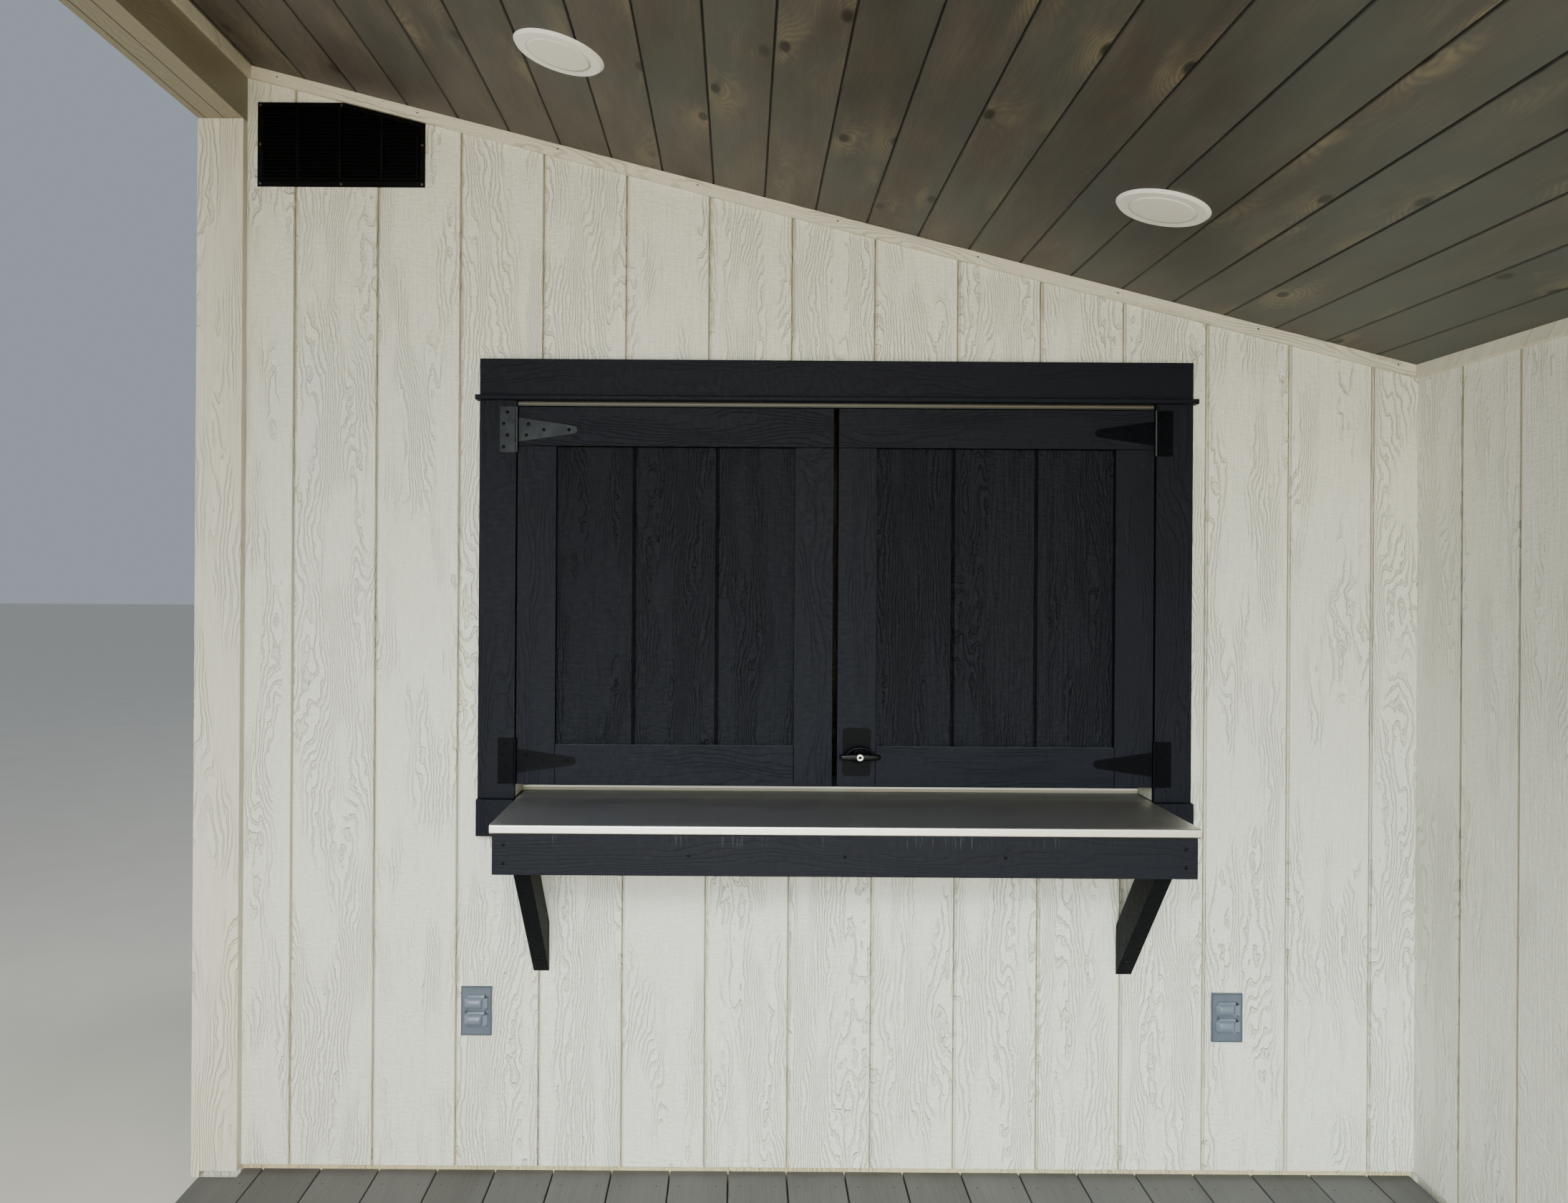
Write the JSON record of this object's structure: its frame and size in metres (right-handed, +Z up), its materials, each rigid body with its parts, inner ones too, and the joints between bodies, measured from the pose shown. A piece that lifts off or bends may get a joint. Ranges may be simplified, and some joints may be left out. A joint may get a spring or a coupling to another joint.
{
  "type": "pool house with porch and serving hatch",
  "caption": "Small mono-pitch pool house: open porch with decked floor and boarded ceiling before a closed room with a shuttered serving hatch and steel counter.",
  "frame": {"origin": "on the ground at the middle of the building's overall box", "axes": "+X from the open front to the low back wall, +Y from the porch's open end to the closed room, +Z up"},
  "size_m": [3.544, 5.838, 3.2415],
  "materials": {
    "siding": "satin exterior paint on embossed grooved panel siding",
    "white_trim": "satin exterior paint on textured trim boards",
    "cream_lining": "cream paint",
    "door_paint": "satin exterior paint",
    "charcoal_wood": "satin charcoal stain on sawn boards",
    "charcoal_panel": "satin charcoal paint on embossed grooved panel",
    "stainless": "brushed",
    "deck_composite": "matte, fine grain",
    "light_white": "satin",
    "treated_timber": "sawn",
    "plywood": "sanded",
    "framing_timber": "planed",
    "stained_ceiling": "grey brown stain",
    "roof_metal": "satin",
    "black_steel": "semi gloss powder coat",
    "black_vent": "satin",
    "outlet_grey": "satin"
  },
  "bodies": {
    "building": {"back_wall": "siding", "ceiling_trim": "white_trim", "corner_boards": "white_trim", "counter_apron": "charcoal_wood", "counter_braces": "charcoal_wood", "counter_top": "stainless", "deck_boards": "deck_composite", "door_casing": "white_trim", "downlights": "light_white", "drip_ledge": "charcoal_wood", "end_header": "white_trim", "end_wall": "siding", "fascia": "white_trim", "floor_frame": "treated_timber", "front_header": "white_trim", "front_post": "white_trim", "front_wall_far": "siding", "front_wall_near": "siding", "front_wall_over_door": "siding", "hatch_wall_left": "siding", "hatch_wall_over": "siding", "hatch_wall_right": "siding", "hatch_wall_under": "siding", "head_casing": "charcoal_wood", "hinge_butts": "black_steel", "jamb_board": "white_trim", "jamb_edge_trim": "white_trim", "metal_roof": "roof_metal", "opening_lining": "cream_lining", "outlet_plates": "outlet_grey", "plinth_blocks": "charcoal_wood", "porch_ceiling": "stained_ceiling", "rafters": "framing_timber", "roof_sheathing": "plywood", "room_door": "door_paint", "room_floor": "plywood", "side_casings": "charcoal_wood", "skids": "treated_timber", "vent": "black_vent"},
    "left_shutter": {"left_shutter_frame": "charcoal_wood", "left_shutter_panel": "charcoal_panel", "left_hinge_straps": "black_steel"},
    "right_shutter": {"right_shutter_frame": "charcoal_wood", "right_shutter_panel": "charcoal_panel", "right_hinge_straps": "black_steel", "latch_plate": "black_steel"},
    "latch": {"latch_handle": "black_steel"},
    "left_upper_lid": {"left_outlet_upper_lid": "outlet_grey"},
    "left_lower_lid": {"left_outlet_lower_lid": "outlet_grey"},
    "right_upper_lid": {"right_outlet_upper_lid": "outlet_grey"},
    "right_lower_lid": {"right_outlet_lower_lid": "outlet_grey"}
  },
  "joints": [
    {"name": "left_shutter_hinge", "type": "hinge", "parent": "building", "child": "left_shutter", "pos_m": [-0.7669, 0.2805, 1.6668], "axis": [0, 0, -1], "range_deg": [0, 178]},
    {"name": "right_shutter_hinge", "type": "hinge", "parent": "building", "child": "right_shutter", "pos_m": [0.7863, 0.2805, 1.6668], "axis": [0, 0, 1], "range_deg": [0, 144]},
    {"name": "latch_turn", "type": "hinge", "parent": "right_shutter", "child": "latch", "pos_m": [0.0686, 0.2847, 1.283], "axis": [0, -1, 0], "range_deg": [0, 90]},
    {"name": "left_upper_lid_hinge", "type": "hinge", "parent": "building", "child": "left_upper_lid", "pos_m": [-0.8345, 0.2944, 0.6702], "axis": [0, 0, 1], "range_deg": [0, 110], "stiffness_Nm_per_rad": 0.01},
    {"name": "left_lower_lid_hinge", "type": "hinge", "parent": "building", "child": "left_lower_lid", "pos_m": [-0.8345, 0.2944, 0.6298], "axis": [0, 0, 1], "range_deg": [0, 110], "stiffness_Nm_per_rad": 0.01},
    {"name": "right_upper_lid_hinge", "type": "hinge", "parent": "building", "child": "right_upper_lid", "pos_m": [1.001, 0.2944, 0.6652], "axis": [0, 0, 1], "range_deg": [0, 110], "stiffness_Nm_per_rad": 0.01},
    {"name": "right_lower_lid_hinge", "type": "hinge", "parent": "building", "child": "right_lower_lid", "pos_m": [1.001, 0.2944, 0.6248], "axis": [0, 0, 1], "range_deg": [0, 110], "stiffness_Nm_per_rad": 0.01}
  ]
}
